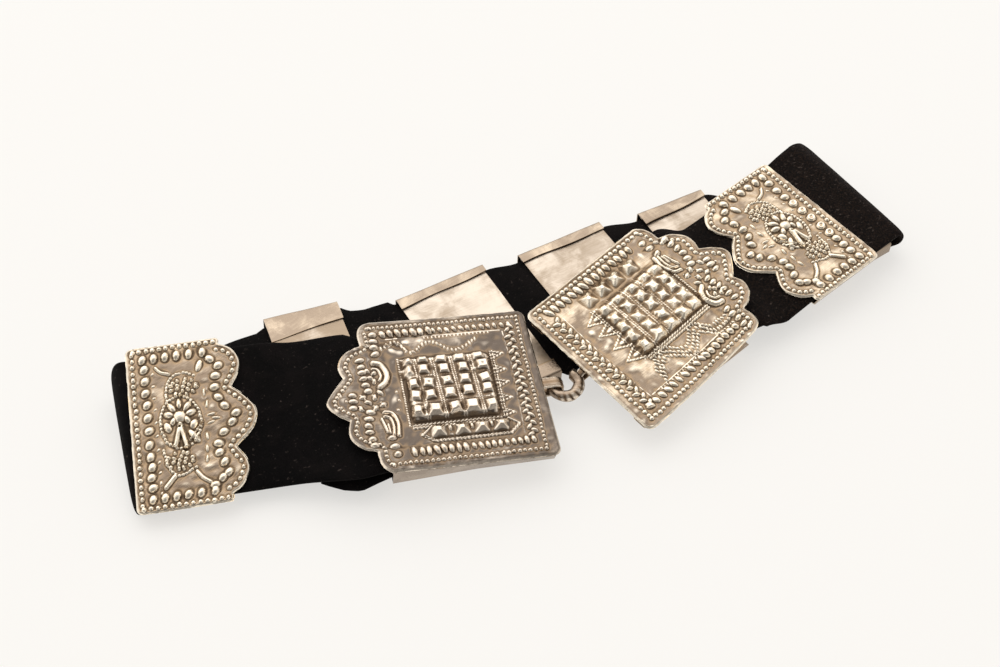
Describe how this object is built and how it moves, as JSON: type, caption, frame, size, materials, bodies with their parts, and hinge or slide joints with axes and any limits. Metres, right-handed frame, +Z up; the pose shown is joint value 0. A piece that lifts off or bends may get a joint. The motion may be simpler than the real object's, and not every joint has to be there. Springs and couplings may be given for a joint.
{
  "type": "tibetan silver belt",
  "caption": "Waist belt of hollow repousse plates and plain wraps on a padded velvet strap, closed by a ring clasp, lying folded flat with its two buckle plates on top.",
  "frame": {"origin": "centre of the bounding box in plan, on the surface that the belt lies on", "axes": "+X along the belt as it lies, to the right as seen from its near side; +Y to the far side; +Z up"},
  "size_m": [0.4024, 0.2396, 0.03],
  "materials": {
    "black_velvet": "black velvet pile with a little lint",
    "dark_silver": "antique silver, tarnished grey-brown in the recesses",
    "worked_silver": "antique silver, warm, tarnished brown in the recesses",
    "plain_silver": "plain sheet silver, satin, lightly tarnished and scratched",
    "clasp_silver": "chased silver, tarnished brown"
  },
  "bodies": {
    "root": {"strap": "black_velvet", "strap_tail": "black_velvet", "left_buckle_front": "dark_silver", "left_buckle_back": "plain_silver", "right_buckle_front": "worked_silver", "right_buckle_back": "plain_silver", "left_plate_front": "worked_silver", "left_plate_back": "plain_silver", "right_plate_front": "worked_silver", "right_plate_back": "plain_silver", "back_wrap_1_front": "worked_silver", "back_wrap_1_back": "plain_silver", "back_wrap_2_front": "worked_silver", "back_wrap_2_back": "plain_silver", "back_wrap_3_front": "worked_silver", "back_wrap_3_back": "plain_silver", "back_wrap_4_front": "worked_silver", "back_wrap_4_back": "plain_silver", "back_wrap_5_front": "worked_silver", "back_wrap_5_back": "plain_silver", "left_eye": "clasp_silver", "right_eye": "clasp_silver", "clasp_ring": "clasp_silver"}
  },
  "joints": []
}
